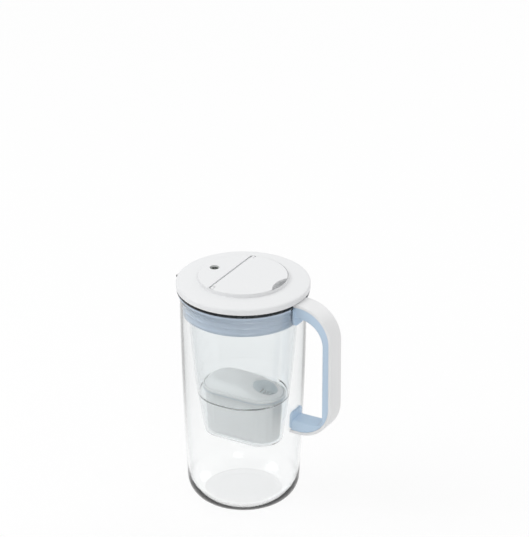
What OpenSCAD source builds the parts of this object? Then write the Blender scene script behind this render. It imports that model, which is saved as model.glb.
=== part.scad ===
// Glass water jug with a filter hopper, a filter cartridge, a cartridge light and a lid with a flip flap.
// Millimetres, +Z up. The origin is the middle of the jug's foot on the table.
// The handle lies on the +X side and the pouring lip on the -X side.

/* [Jug] */
// Height of the glass rim above the table
jug_h = 233; // [215:1:250]
// Outer radius of the glass at the rim
rim_r = 65; // [62:0.5:70]
// Outer radius of the glass where the wall meets the rounded foot
foot_r = 58; // [54:0.5:60]
// Radius of the rounded corner at the foot
corner_r = 24; // [14:1:28]
// How far the wall bows out between foot and rim
belly = 1.3; // [0:0.1:2]
// Thickness of the glass wall
glass_t = 2.6; // [2:0.1:3]
// Thickness of the glass floor
floor_t = 5; // [3:0.5:8]
// Distance from the jug's axis to the tip of the pouring lip
lip_reach = 80; // [74:0.5:86]
// Half the width of the pouring lip where it leaves the rim
lip_half_w = 15.8; // [12:0.2:20]
// Height of the pinched pouring lip on the wall
lip_h = 20; // [12:1:30]

/* [Handle] */
// Distance from the jug's axis to the outside of the handle
handle_x = 109; // [104:0.5:116]
// Width of the handle's outer shell
handle_w = 22; // [18:0.5:26]
// Height of the underside of the handle above the table
handle_z = 91; // [80:1:110]
// How far the handle's top lies below the top of the funnel's flange
handle_drop = 0.7; // [0.2:0.1:3]
// Radius of the handle's two outer bends
bend_r = 38; // [30:1:44]
// Thickness of the outer shell
shell_t = 3.3; // [2.4:0.1:4.5]
// Thickness of the soft liner along the grip
liner_t = 8; // [6:0.5:10]
// Thickness of the liner in the upper arm
upper_arm_t = 13; // [9:0.5:15]
// Thickness of the liner in the lower arm
lower_arm_t = 11.5; // [9:0.5:15]
// Radius of the liner's upper inside bend
grip_top_r = 26; // [16:1:28]
// Radius of the liner's lower inside bend
grip_low_r = 9; // [6:1:16]
// How much narrower the liner is than the shell, on each side
liner_step = 1; // [0.4:0.1:2]
// Thickness of the two pads between the handle and the glass
pad_t = 2; // [1.4:0.1:3]
// How far each pad reaches past its arm along the glass
pad_over = 9; // [5:0.5:12]

/* [Sealing ring] */
// How far the ring's flange reaches past the glass rim
ring_over = 2.3; // [1:0.1:4]
// Thickness of the ring's flange
ring_flange_t = 2.5; // [1.8:0.1:3.5]
// Depth of the ring's wall below its flange
ring_h = 21; // [16:0.5:24]
// Thickness of the ring's wall
ring_t = 2.2; // [1.6:0.1:2.5]
// How far the ring's ribs stand out of its wall
rib_out = 0.7; // [0.4:0.1:0.9]
// Number of ribs round the ring
rib_count = 3; // [2:1:4]
// Half the width of the gap in the ring's wall that lets water out to the pouring lip
pour_half_w = 11; // [6:0.5:14]

/* [Funnel] */
// How far the funnel's flange reaches past the ring's flange
funnel_over = 1; // [0.5:0.1:3]
// Thickness of the funnel's flange
funnel_flange_t = 4; // [3:0.2:5]
// Wall thickness of the funnel
funnel_t = 2; // [1.6:0.1:2.5]
// Depth of the funnel's upper wall, down to the ledge
upper_wall_h = 22; // [20:0.5:26]
// How far the ledge steps in
ledge_w = 1.8; // [1.2:0.1:2.5]
// Gap between the cartridge's rim and the inside of the funnel's round part
rim_gap = 2.25; // [1.5:0.05:4]
// Depth of the round part below the top of the flange
bowl_depth = 103; // [96:1:108]
// Depth of the whole funnel below the top of the flange
funnel_depth = 170; // [164:1:176]
// Gap between the cartridge's bottom and the funnel at each end of the oval
end_gap = 1; // [0.6:0.1:3]
// Gap between the cartridge's bottom and the funnel at each side of the oval
side_gap = 1.75; // [0.6:0.05:4]
// Gap between the cartridge's bottom and the funnel's floor
floor_gap = 1.5; // [0.5:0.1:4]
// Gap between the cartridge's body and the shelf that it hangs in
shelf_gap = 0.7; // [0.4:0.1:1.5]
// Width of the floor that is left round the funnel's outlet
outlet_edge = 12; // [9:0.5:16]
// Gap between the handle and each side of the notch that clears it
notch_gap = 3.5; // [2:0.5:6]

/* [Cartridge] */
// Length of the cartridge's oval rim
cart_l = 91.5; // [84:0.5:96]
// Width of the cartridge's oval rim
cart_w = 50; // [46:0.5:60]
// How far the rim stands out past the body
cart_lip = 2.75; // [2:0.05:3]
// How much the body narrows from rim to bottom, on each side
cart_draft = 3; // [2.8:0.1:3.6]
// Depth of the body below the rim's seal
cart_h = 48; // [44:0.5:50]
// Wall thickness of the cartridge
cart_t = 1.6; // [1.2:0.1:2]
// Thickness of the seal under the rim
seal_t = 1.2; // [0.8:0.1:2]
// Thickness of the cap's rim
cap_rim_t = 3; // [2:0.2:4]
// Height of the cap's crown above its rim
crown_h = 9; // [6:0.5:11]
// Length of the flat top of the crown
crown_l = 36; // [20:1:44]
// Width of the flat top of the crown
crown_w = 26; // [14:1:32]
// Distance from the cap's middle to the middle of the crown, towards the pouring lip
crown_x = 12; // [8:1:20]
// Radius of the finger scoop
scoop_r = 16; // [12:0.5:17]
// Distance from the cap's middle to the scoop, towards the handle
scoop_x = 28; // [25:0.5:31]
// Depth of the scoop below the top of the cap's rim
scoop_depth = 2; // [1:0.1:2.4]

/* [Lid] */
// How far the lid's edge stands out past the funnel's flange
lid_over = 0.4; // [0:0.1:2]
// Height of the lid's outer edge
lid_edge_h = 6; // [5:0.2:7]
// Radius of the raised middle of the lid
plateau_r = 45.9; // [45:0.1:47]
// Height of the raised middle above the lid's foot
plateau_h = 12.5; // [12:0.1:14]
// How far the raised middle stands above the slope round it
step_h = 3.6; // [2.5:0.1:4.5]
// Thickness of the lid's skin
lid_t = 2.2; // [1.8:0.1:2.6]
// Distance from the lid's middle to the flap's hinge
hinge_x = 13; // [12.5:0.1:13.5]
// Radius of the flap's hinge pin
pin_r = 1.2; // [1:0.05:1.5]
// Radius of the flap's hinge barrel
barrel_r = 2.6; // [2.4:0.1:4]
// Length of each of the two lugs that hold the pin
lug_l = 5.2; // [4:0.1:7]
// Thickness of the flap
flap_t = 2.6; // [2:0.1:3]
// Width of the seat that the flap rests on
seat_w = 3.9; // [2.5:0.1:4.5]
// Radius of the thumb recess
thumb_r = 29; // [24:0.5:32]
// Distance from the lid's middle to the middle of the thumb recess
thumb_x = 66; // [62:0.5:68]
// Height of the thumb recess's floor above the lid's foot
thumb_floor_h = 5.2; // [4:0.1:6]
// Width of each hanging clip
clip_w = 9; // [6:0.5:12]
// How far the clips hang below the foot of the lid
clip_h = 13; // [8:0.5:16]

/* [Cartridge light] */
// Radius of the light's body
light_r = 14.8; // [14:0.1:15]
// Height of the light's body
light_h = 20.5; // [18:0.5:22]
// Gap between the light's socket and the flap
socket_gap = 1.35; // [0.2:0.05:2]
// Wall thickness of the light's body
light_t = 1.5; // [1.2:0.1:1.8]
// Radius of the window in the lid above the light
window_r = 5; // [4:0.1:9]
// Radius of the light's button
button_r = 9.3; // [8:0.1:9.8]
// Radius of the green lens in the button
lens_r = 3.2; // [2:0.1:4]
// How far the button's face lies below the top of the light
button_sink = 1.2; // [0.8:0.1:1.8]
// Travel of the button
button_travel = 1; // [0.5:0.1:1.2]
// Diameter of the coin cell
cell_d = 20; // [16:0.5:20]
// Thickness of the coin cell
cell_t = 3.2; // [2:0.1:3.2]

/* [Hidden] */

$fn = 96;
// Small overlap that makes cuts run clean through a face
cut = 0.5;
// Clearance between parts that slide past each other
slide_gap = 0.3;
// Clearance round a turning pin
pin_gap = 0.05;
// Clearance between parts that only rest near each other
rest_gap = 0.25;
// Small bevel along a moulded edge
bevel = 0.6;
// Steps in each rounded corner of a drawn outline
arc_n = 12;
// Steps in the height of the jug's wall
wall_n = 10;

glass = [0.86, 0.92, 0.94, 0.35];
clear_plastic = [0.88, 0.93, 0.95, 0.45];
white = [0.95, 0.95, 0.95];
soft_blue = [0.62, 0.74, 0.9];
steel = [0.75, 0.76, 0.78];

// Heights of the stack, each taken from the piece below
ring_top = jug_h + ring_flange_t;
funnel_top = ring_top + funnel_flange_t;
ledge_z = funnel_top - upper_wall_h;
bowl_z = funnel_top - bowl_depth;
well_z = funnel_top - funnel_depth;
cart_z = well_z + funnel_t + floor_gap;
seat_z = cart_z + cart_h;
cap_z = seat_z + seal_t;
lid_z = funnel_top;
plateau_z = lid_z + plateau_h;

// Radii that follow from the glass inwards
mouth_r = rim_r - glass_t;
ring_out_r = mouth_r - rib_out - slide_gap;
ring_in_r = ring_out_r - ring_t;
upper_wall_r = ring_in_r - slide_gap;
lower_wall_r = upper_wall_r - ledge_w;
funnel_in_r = upper_wall_r - funnel_t;
notch_r = mouth_r - 0.2;
notch_half_w = handle_w / 2 + notch_gap;
ring_r = rim_r + ring_over;
funnel_r = ring_r + funnel_over;
lid_r = funnel_r + lid_over;
// Small step where the funnel's round part meets its oval part
bowl_step = 0.3;

// The cartridge's body, and the funnel round it
body_l = cart_l - 2 * cart_lip;
body_w = cart_w - 2 * cart_lip;
bowl_r = cart_l / 2 + rim_gap + funnel_t;
well_l = body_l - 2 * cart_draft + 2 * end_gap + 2 * funnel_t;
well_w = body_w - 2 * cart_draft + 2 * side_gap + 2 * funnel_t;

function lerp(a, b, t) = a + (b - a) * t;

// Points of an arc about (x, y), from angle a0 to a1
function arc(x, y, r, a0, a1, n = arc_n) =
    [for (i = [0:n]) [x + r * cos(lerp(a0, a1, i / n)), y + r * sin(lerp(a0, a1, i / n))]];

// Outline of an oval with straight sides, l long and w wide
function oval(l, w) = concat(
    arc((l - w) / 2, 0, w / 2, -90, 90, 2 * arc_n),
    arc(-(l - w) / 2, 0, w / 2, 90, 270, 2 * arc_n));

// Outer radius of the glass at height z on the wall
function wall_t(z) = (z - corner_r) / (jug_h - corner_r);
function wall_r(z) = lerp(foot_r, rim_r, wall_t(z)) + 4 * belly * wall_t(z) * (1 - wall_t(z));

// Points up the wall from z0 to z1, moved out by off
function wall_line(z0, z1, off) =
    [for (i = [1:wall_n]) let (z = lerp(z0, z1, i / wall_n)) [wall_r(z) + off, z]];

module revolve(points) {
    rotate_extrude()
        polygon(points);
}

module plate(points, z, t) {
    translate([0, 0, z])
        linear_extrude(t)
            polygon(points);
}

// Smooth shape between two flat outlines at heights z0 and z1
module loft(points0, z0, points1, z1) {
    skin = 0.02;
    hull() {
        plate(points0, z0, skin);
        plate(points1, z1 - skin, skin);
    }
}

function round_outline(r) = arc(0, 0, r, 0, 360 * (1 - 1 / $fn), $fn - 1);

// Glass jug
module jug_outside() {
    lip = glass_t / 2;
    revolve(concat(
        [[0, 0]],
        arc(foot_r - corner_r, corner_r, corner_r, -90, 0),
        wall_line(corner_r, jug_h - lip, 0),
        arc(wall_r(jug_h - lip) - lip, jug_h - lip, lip, 0, 90, 4),
        [[0, jug_h]]));
}

module jug_inside() {
    inner_r = corner_r - glass_t;
    lip = glass_t / 2;
    top_r = wall_r(jug_h - lip) - glass_t;
    revolve(concat(
        [[0, floor_t]],
        arc(foot_r - corner_r, floor_t + inner_r, inner_r, -90, 0),
        wall_line(floor_t + inner_r, jug_h - lip, -glass_t),
        arc(top_r + lip, jug_h - lip, lip, 180, 90, 4),
        [[top_r + lip, jug_h + cut], [0, jug_h + cut]]));
}

// Pinched pouring lip, moved in by off to make its hollow
module pouring_lip(off, rise) {
    tip_r = 3;
    root_r = 2;
    edge_t = 2;
    foot_in = 4;
    // A slanting wall takes more than its thickness off the hollow's reach, width and height
    tip_x = lip_reach - tip_r - 2 * off;
    half_w = lip_half_w - 1.3 * off;
    root_x = sqrt(pow(rim_r - root_r, 2) - pow(half_w, 2)) - off;
    hull() {
        translate([-tip_x, 0, jug_h - edge_t])
            cylinder(r = tip_r, h = edge_t + rise, $fn = 32);
        for (side = [-1, 1])
            translate([-root_x, side * half_w, jug_h - edge_t])
                cylinder(r = root_r, h = edge_t + rise, $fn = 32);
        translate([-(rim_r - foot_in - off), 0, jug_h - lip_h + 1.5 * off])
            cylinder(r = root_r, h = edge_t, $fn = 32);
    }
}

module glass_jug() {
    color(glass)
        difference() {
            union() {
                jug_outside();
                pouring_lip(0, 0);
            }
            jug_inside();
            pouring_lip(glass_t, cut);
        }
}

// Handle
handle_top = funnel_top - handle_drop;
upper_arm_z = handle_top - shell_t - upper_arm_t;
lower_arm_z = handle_z + shell_t + lower_arm_t;
grip_x = handle_x - shell_t - liner_t;

// D-shaped outline of the handle seen from the side, moved in by off
function handle_outline(off) = concat(
    [[0, handle_z + off]],
    arc(handle_x - bend_r, handle_z + bend_r, bend_r - off, -90, 0),
    arc(handle_x - bend_r, handle_top - bend_r, bend_r - off, 0, 90),
    [[0, handle_top - off]]);

function grip_outline() = concat(
    [[0, lower_arm_z]],
    arc(grip_x - grip_low_r, lower_arm_z + grip_low_r, grip_low_r, -90, 0),
    arc(grip_x - grip_top_r, upper_arm_z - grip_top_r, grip_top_r, 0, 90),
    [[0, upper_arm_z]]);

// Flat side outline in X and Z, made w wide about the middle plane
module side_plate(points, w) {
    translate([0, w / 2, 0])
        rotate([90, 0, 0])
            linear_extrude(w)
                polygon(points);
}

// Everything inside the glass's outer surface, moved out by off
module inside_wall(off) {
    revolve(concat([[0, 0], [wall_r(corner_r) + off, 0]], wall_line(corner_r, jug_h, off),
        [[rim_r + off, jug_h + 2 * lid_edge_h], [0, jug_h + 2 * lid_edge_h]]));
}

module handle_shell() {
    shell_gap = 0.4;
    color(white)
        difference() {
            side_plate(handle_outline(0), handle_w);
            side_plate(handle_outline(shell_t), handle_w + 2 * cut);
            inside_wall(shell_gap);
        }
}

module handle_liner() {
    color(soft_blue)
        difference() {
            side_plate(handle_outline(shell_t), handle_w - 2 * liner_step);
            side_plate(grip_outline(), handle_w + 2 * cut);
            inside_wall(pad_t);
        }
}

// Pad that follows the glass from z0 to z1, with rounded corners
module saddle(z0, z1) {
    pad_r = 5;
    color(soft_blue)
        intersection() {
            difference() {
                inside_wall(pad_t);
                inside_wall(0);
            }
            rotate([90, 0, 90])
                linear_extrude(handle_x)
                    polygon(concat(
                        arc(handle_w / 2 - pad_r, z0 + pad_r, pad_r, -90, 0, 6),
                        arc(handle_w / 2 - pad_r, z1 - pad_r, pad_r, 0, 90, 6),
                        arc(-handle_w / 2 + pad_r, z1 - pad_r, pad_r, 90, 180, 6),
                        arc(-handle_w / 2 + pad_r, z0 + pad_r, pad_r, 180, 270, 6)));
        }
}

module upper_saddle() {
    saddle(upper_arm_z - pad_over, handle_top - shell_t);
}

module lower_saddle() {
    saddle(handle_z + shell_t, lower_arm_z + pad_over);
}

// Slot that clears the top of the handle
module handle_notch(z, t) {
    translate([notch_r, -notch_half_w, z - cut])
        cube([funnel_r, 2 * notch_half_w, t + 2 * cut]);
}

// Soft ring between the funnel and the glass
module sealing_ring() {
    rib_margin = 3;
    rib_half = 1.6;
    rib_pitch = (ring_h - rib_margin) / rib_count;
    foot_z = jug_h - ring_h;
    ribs = [for (i = [rib_count:-1:1]) for (p = [[0, -rib_half], [rib_out, 0], [0, rib_half]])
        [ring_out_r + p[0], jug_h - i * rib_pitch + p[1]]];
    color(soft_blue)
        difference() {
            revolve(concat(
                [[ring_in_r, foot_z], [ring_out_r - bevel, foot_z], [ring_out_r, foot_z + bevel]],
                ribs,
                [[ring_out_r, jug_h], [ring_r - bevel, jug_h], [ring_r, jug_h + bevel],
                    [ring_r, ring_top - bevel], [ring_r - bevel, ring_top], [ring_in_r, ring_top]]));
            handle_notch(jug_h, ring_flange_t);
            translate([-ring_r, -pour_half_w, foot_z - cut])
                cube([ring_r - lower_wall_r, 2 * pour_half_w, ring_h + cut]);
        }
}

// Clear funnel that holds the raw water and the cartridge
module funnel_outside() {
    revolve([[0, bowl_z], [bowl_r, bowl_z], [lower_wall_r, ledge_z - 1], [upper_wall_r, ledge_z],
        [upper_wall_r, ring_top], [funnel_r - bevel, ring_top], [funnel_r, ring_top + bevel],
        [funnel_r, funnel_top - bevel], [funnel_r - bevel, funnel_top], [0, funnel_top]]);
    loft(oval(well_l, well_w), well_z, round_outline(bowl_r - bowl_step), bowl_z + 1);
}

module funnel_bowl() {
    revolve([[0, bowl_z], [bowl_r - funnel_t, bowl_z],
        [lower_wall_r - funnel_t, ledge_z - 1], [funnel_in_r, ledge_z],
        [funnel_in_r, funnel_top + cut], [0, funnel_top + cut]]);
}

module well_hollow() {
    loft(oval(well_l - 2 * funnel_t, well_w - 2 * funnel_t), well_z + funnel_t,
        round_outline(bowl_r - funnel_t - bowl_step), bowl_z + 1);
}

module funnel() {
    hole_l = body_l + 2 * shelf_gap;
    hole_w = body_w + 2 * shelf_gap;
    outlet_l = well_l - 2 * outlet_edge;
    outlet_w = well_w - 2 * outlet_edge;
    color(clear_plastic)
        difference() {
            funnel_outside();
            funnel_bowl();
            difference() {
                well_hollow();
                translate([0, 0, seat_z - funnel_t])
                    difference() {
                        cylinder(r = lower_wall_r, h = funnel_t);
                        plate(oval(hole_l, hole_w), -cut, funnel_t + 2 * cut);
                    }
            }
            plate(oval(outlet_l, outlet_w), well_z - cut, funnel_t + 2 * cut);
            handle_notch(ring_top, funnel_flange_t);
        }
}

// Filter cartridge: a tapered oval body, moved in by off on the sides
module cart_taper(off, z0, z1) {
    t0 = (seat_z - z0) / cart_h;
    t1 = (seat_z - z1) / cart_h;
    in0 = 2 * (off + cart_draft * t0);
    in1 = 2 * (off + cart_draft * t1);
    loft(oval(body_l - in0, body_w - in0), z0, oval(body_l - in1, body_w - in1), z1);
}

module cartridge_housing() {
    screen_step = 3;
    opening_in = 2 * (cart_draft + cart_t + screen_step);
    color(white)
        difference() {
            union() {
                cart_taper(0, cart_z, seat_z + 0.01);
                plate(oval(body_l, body_w), seat_z, seal_t);
            }
            cart_taper(cart_t, cart_z + cart_t, cap_z + cut);
            plate(oval(body_l - opening_in, body_w - opening_in), cart_z - cut, cart_t + 2 * cut);
        }
}

module cartridge_seal() {
    fit_gap = 0.05;
    color([0.9, 0.93, 0.96])
        difference() {
            plate(oval(cart_l, cart_w), seat_z, seal_t);
            plate(oval(body_l + 2 * fit_gap, body_w + 2 * fit_gap), seat_z - cut, seal_t + 2 * cut);
        }
}

// Cap with a crown that is high at the lip end and slopes to a finger scoop at the handle end
module cartridge_cap() {
    crown_in = 4;
    crown_shift = 1.5;
    shoulder_h = 3;
    slot_w = 1.4;
    slot_l = 8;
    slot_count = 5;
    slot_pitch = 3.4;
    slots_l = slot_pitch * (slot_count - 1) + slot_w;
    cap_top = cap_z + cap_rim_t;
    color(white)
        difference() {
            hull() {
                plate(oval(cart_l, cart_w), cap_z, cap_rim_t);
                translate([-crown_shift, 0, 0])
                    plate(oval(cart_l - 2 * crown_in, cart_w - 2 * crown_in), cap_top, shoulder_h);
                translate([-crown_x, 0, 0])
                    plate(oval(crown_l, crown_w), cap_top, crown_h);
            }
            translate([scoop_x, 0, cap_top + scoop_r - scoop_depth])
                sphere(r = scoop_r, $fn = 48);
            for (i = [0:slot_count - 1])
                translate([scoop_x - slots_l / 2 + i * slot_pitch, -slot_l / 2, cap_z - cut])
                    cube([slot_w, slot_l, 2 * cap_rim_t]);
        }
}

screen_t = 1;
screen_gap = 0.6;

module filter_media() {
    top_gap = 3;
    color([0.28, 0.27, 0.27])
        cart_taper(cart_t + rest_gap, cart_z + cart_t + screen_t + screen_gap, seat_z - top_gap);
}

module inlet_screen() {
    inset = 2 * (cart_t + screen_gap);
    color([0.85, 0.86, 0.88])
        plate(oval(body_l - inset, body_w - inset), seat_z - 2 * screen_t, screen_t);
}

module outlet_screen() {
    inset = 2 * (cart_draft + cart_t + screen_gap);
    color([0.85, 0.86, 0.88])
        plate(oval(body_l - inset, body_w - inset), cart_z + cart_t, screen_t);
}

// Lid
lug_gap = 0.3;
lug_end_gap = 0.5;
seat_gap = 0.5;
hinge_gap = 0.3;
socket_t = 1.7;
skirt_t = 1.8;
skirt_h = 3.5;
skirt_gap = 0.5;
pocket_wall = 1.8;
hinge_z = plateau_z - barrel_r;
barrel_l = 2 * (sqrt(pow(plateau_r, 2) - pow(hinge_x, 2)) - lug_l - lug_gap - lug_end_gap);
cover_edge_x = hinge_x + barrel_r + hinge_gap;
seat_top = plateau_z - flap_t - seat_gap;
skirt_r = funnel_in_r - skirt_gap;
skirt_in_r = skirt_r - skirt_t;
// Foot of the raised middle, where the lid's slope begins
step_draft = 0.7;
step_r = plateau_r + step_draft;
step_z = plateau_z - step_h;
slope_rise = 1.2;
slope_end_z = lid_z + lid_edge_h - lid_t + slope_rise;
light_x = cover_edge_x + socket_gap + socket_t + rest_gap + light_r;

// Height of the lid's underside at radius r on the slope
function under_slope_z(r) = lerp(step_z - lid_t, slope_end_z, (r - step_r) / (skirt_in_r - step_r));

module lid_skin() {
    edge_z = lid_z + lid_edge_h;
    edge_w = 2;
    edge_rise = 0.5;
    inner_r = plateau_r - seat_w;
    revolve([[0, plateau_z], [plateau_r - bevel, plateau_z], [plateau_r + bevel / 2, plateau_z - bevel],
        [step_r, step_z], [lid_r - edge_w, edge_z + edge_rise], [lid_r - bevel, edge_z - edge_rise / 2],
        [lid_r, edge_z - 2 * bevel], [lid_r, lid_z], [lid_r - lid_t, lid_z],
        [lid_r - lid_t, edge_z - lid_t], [skirt_r, edge_z - lid_t + slope_rise - 0.2],
        [skirt_r, lid_z - skirt_h], [skirt_in_r, lid_z - skirt_h],
        [skirt_in_r, slope_end_z], [step_r, step_z - lid_t], [inner_r, step_z - lid_t],
        [inner_r, plateau_z - lid_t], [0, plateau_z - lid_t]]);
}

// Wall of the light's socket, which ends inside the lid's skin
module light_socket() {
    socket_in = light_r + rest_gap;
    socket_z = light_top - light_h / 2;
    step_top = step_z - lid_t + 0.5;
    intersection() {
        translate([-light_x, 0, socket_z])
            difference() {
                cylinder(r = socket_in + socket_t, h = plateau_z - lid_t - socket_z + 0.1);
                translate([0, 0, -cut])
                    cylinder(r = socket_in, h = light_h);
            }
        revolve([[0, socket_z - cut], [skirt_r, socket_z - cut], [skirt_r, step_top - 0.6],
            [step_r, step_top], [plateau_r - 1, step_top], [plateau_r - 1, plateau_z - lid_t + 0.1],
            [0, plateau_z - lid_t + 0.1]]);
    }
}

module hanging_clips() {
    bead = 0.3;
    bead_z = lid_z - clip_h + 1.6;
    joint_z = lid_z - skirt_h + 0.1;
    for (a = [0:90:270])
        rotate([0, 0, a])
            intersection() {
                revolve([[skirt_in_r, lid_z - clip_h], [skirt_r - bevel, lid_z - clip_h],
                    [skirt_r + bead, bead_z], [skirt_r, bead_z + 1.6],
                    [skirt_r, joint_z], [skirt_in_r, joint_z]]);
                translate([0, -clip_w / 2, lid_z - clip_h - cut])
                    cube([lid_r, clip_w, clip_h + cut]);
            }
}

// Cylinder about the hinge, from y0 to y1
module hinge_cylinder(r, y0, y1) {
    translate([-hinge_x, y1, hinge_z])
        rotate([90, 0, 0])
            cylinder(r = r, h = y1 - y0);
}

// Two lugs for the pin, round above it and square below it where they stand on the seat
module hinge_lugs() {
    lug_r = barrel_r - 0.3;
    lug_y = barrel_l / 2 + lug_gap;
    for (side = [-1, 1]) {
        y0 = side * (lug_y + lug_l / 2) - lug_l / 2;
        hinge_cylinder(lug_r, y0, y0 + lug_l);
        translate([-hinge_x - lug_r, y0, hinge_z - 1.5 * lug_r])
            cube([2 * lug_r, lug_l, 1.5 * lug_r]);
    }
}

module thumb_pocket(off, z, t) {
    intersection() {
        translate([thumb_x, 0, z])
            cylinder(r = thumb_r + off, h = t);
        translate([0, 0, z])
            cylinder(r = plateau_r + off, h = t);
    }
}

// Room for the flap on its seat
module flap_room() {
    intersection() {
        translate([0, 0, seat_top])
            cylinder(r = plateau_r, h = plateau_h);
        translate([-cover_edge_x, -lid_r, seat_top])
            cube([2 * lid_r, 2 * lid_r, plateau_h]);
    }
}

module lid_cover() {
    pocket_z = lid_z + thumb_floor_h;
    pocket_top = step_z - 0.3;
    pin_half_l = barrel_l / 2 + lug_gap + lug_l - 0.6;
    color(white)
        difference() {
            union() {
                difference() {
                    lid_skin();
                    flap_room();
                }
                thumb_pocket(pocket_wall, pocket_z - pocket_wall, pocket_top - pocket_z + pocket_wall);
                light_socket();
                hanging_clips();
                hinge_lugs();
            }
            thumb_pocket(0, pocket_z, plateau_h);
            translate([-light_x, 0, lid_z])
                cylinder(r = window_r, h = 2 * plateau_h);
            hinge_cylinder(pin_r + pin_gap, -pin_half_l, pin_half_l);
        }
}

// Stiffening rim under the flap, open where the thumb recess is
module flap_rim(flap_z) {
    rim_h = 3;
    rim_t = 1.6;
    rim_r = plateau_r - seat_w - 0.5;
    difference() {
        translate([0, 0, flap_z - rim_h])
            cylinder(r = rim_r, h = rim_h + 0.1);
        translate([0, 0, flap_z - rim_h - cut])
            cylinder(r = rim_r - rim_t, h = rim_h + cut);
        translate([thumb_x, 0, flap_z - rim_h - cut])
            cylinder(r = thumb_r + pocket_wall + 0.5, h = rim_h + cut);
    }
}

module flip_flap() {
    flap_r = plateau_r - slide_gap;
    flap_z = plateau_z - flap_t;
    lip = 1.2;
    lug_room = lug_l + 4 * lug_gap;
    color(white)
        difference() {
            union() {
                difference() {
                    union() {
                        revolve([[0, flap_z], [flap_r, flap_z], [flap_r, plateau_z - bevel],
                            [flap_r - bevel, plateau_z], [0, plateau_z]]);
                        flap_rim(flap_z);
                    }
                    translate([-hinge_x - 2 * lid_r, -lid_r, lid_z])
                        cube([2 * lid_r, 2 * lid_r, 2 * plateau_h]);
                    for (side = [-1, 1])
                        translate([-hinge_x - cut, side * (barrel_l + lug_room) / 2 - lug_room / 2, lid_z])
                            cube([barrel_r + hinge_gap + cut, lug_room, 2 * plateau_h]);
                }
                hinge_cylinder(barrel_r, -barrel_l / 2, barrel_l / 2);
            }
            translate([thumb_x, 0, lid_z])
                cylinder(r = thumb_r - lip, h = 2 * plateau_h);
            hinge_cylinder(pin_r + pin_gap, -barrel_l / 2 - cut, barrel_l / 2 + cut);
        }
}

module hinge_pin() {
    half_l = barrel_l / 2 + lug_gap + lug_l - 0.8;
    color(steel)
        hinge_cylinder(pin_r, -half_l, half_l);
}

// Cartridge light, pushed up into its socket in the lid
light_top = under_slope_z(light_x + light_r) - rest_gap;
light_bottom = light_top - light_h;
top_t = 2;
button_zone_h = 5;
button_gap = 0.2;
button_top = light_top - button_sink;
button_flange_r = button_r + 1.4;
button_flange_t = 1;
button_flange_top = light_top - top_t - 0.1;
board_top = light_top - top_t - button_zone_h;
board_t = 1.2;
base_t = 2.2;
cell_gap = 0.4;
cell_z = light_bottom + base_t + cell_gap;
switch_x = 6.6;
switch_h = 1.6;
plunger_h = 0.5;

module at_light(z) {
    translate([-light_x, 0, z])
        children();
}

module light_housing() {
    color(white)
        at_light(0)
            difference() {
                revolve([[0, light_bottom], [light_r - bevel, light_bottom],
                    [light_r, light_bottom + bevel], [light_r, light_top - bevel],
                    [light_r - bevel, light_top], [0, light_top]]);
                revolve([[0, light_bottom - cut], [light_r - light_t, light_bottom - cut],
                    [light_r - light_t, light_top - top_t], [0, light_top - top_t]]);
                revolve([[0, light_top - top_t - cut], [button_r + button_gap, light_top - top_t - cut],
                    [button_r + button_gap, light_top - 0.8], [button_r + 1, light_top + 0.1],
                    [0, light_top + 0.1]]);
            }
}

// Button with a captive flange below the housing's top and a stem over the switch
module light_button() {
    stem_r = 2.2;
    stem_z = board_top + switch_h + button_travel + 0.15;
    flange_z = button_flange_top - button_flange_t;
    color([0.9, 0.92, 0.92]) {
        at_light(0)
            difference() {
                revolve([[0, flange_z], [button_flange_r, flange_z],
                    [button_flange_r, button_flange_top], [button_r, button_flange_top],
                    [button_r, button_top - 0.4], [button_r - 0.4, button_top], [0, button_top]]);
                translate([0, 0, flange_z - cut])
                    cylinder(r = lens_r + 0.02, h = 2 * top_t);
            }
        at_light(stem_z)
            translate([switch_x, 0, 0])
                cylinder(r = stem_r, h = flange_z - stem_z + 0.05);
    }
}

module light_lens() {
    lens_z = button_flange_top - button_flange_t;
    color([0.45, 0.85, 0.35])
        at_light(lens_z)
            cylinder(r = lens_r, h = button_top - lens_z - 0.2);
}

module light_led() {
    led_w = 3.2;
    led_h = 0.9;
    dome_r = 1.2;
    color([0.6, 0.95, 0.5])
        at_light(board_top) {
            translate([-led_w / 2, -led_w / 2, 0])
                cube([led_w, led_w, led_h]);
            translate([0, 0, led_h])
                cylinder(r = dome_r, h = 0.6);
        }
}

module light_board() {
    color([0.12, 0.42, 0.24])
        at_light(board_top - board_t)
            cylinder(r = light_r - light_t - rest_gap, h = board_t);
}

module light_switch() {
    switch_w = 4;
    color(steel)
        at_light(board_top) {
            translate([switch_x - switch_w / 2, -switch_w / 2, 0])
                cube([switch_w, switch_w, switch_h - plunger_h]);
            translate([switch_x, 0, switch_h - plunger_h])
                cylinder(r = 1.1, h = plunger_h);
        }
}

module light_battery() {
    color(steel)
        at_light(cell_z)
            revolve([[0, 0], [cell_d / 2 - bevel, 0], [cell_d / 2, bevel], [cell_d / 2, cell_t - 0.9],
                [cell_d / 2 - 1, cell_t - 0.9], [cell_d / 2 - 1, cell_t], [0, cell_t]]);
}

// Two sprung strips between the board and the cell
module battery_contacts() {
    strip_t = 0.3;
    strip_w = 2.5;
    strip_l = 9;
    strip_x = 4;
    touch_z = cell_z + cell_t + 0.02;
    post_h = board_top - board_t - touch_z - 0.02;
    color(steel)
        for (side = [-1, 1])
            at_light(touch_z)
                translate([side * strip_x - strip_w / 2, -strip_l / 2, 0]) {
                    cube([strip_w, strip_l, strip_t]);
                    cube([strip_w, strip_t, post_h]);
                }
}

// Screw-in bottom cover with a coin slot
module light_base() {
    slot_w = 2;
    slot_l = 16;
    color(white)
        at_light(light_bottom)
            difference() {
                cylinder(r = light_r - light_t - rest_gap, h = base_t);
                translate([-slot_l / 2, -slot_w / 2, -cut])
                    cube([slot_l, slot_w, 1 + cut]);
            }
}

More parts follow.
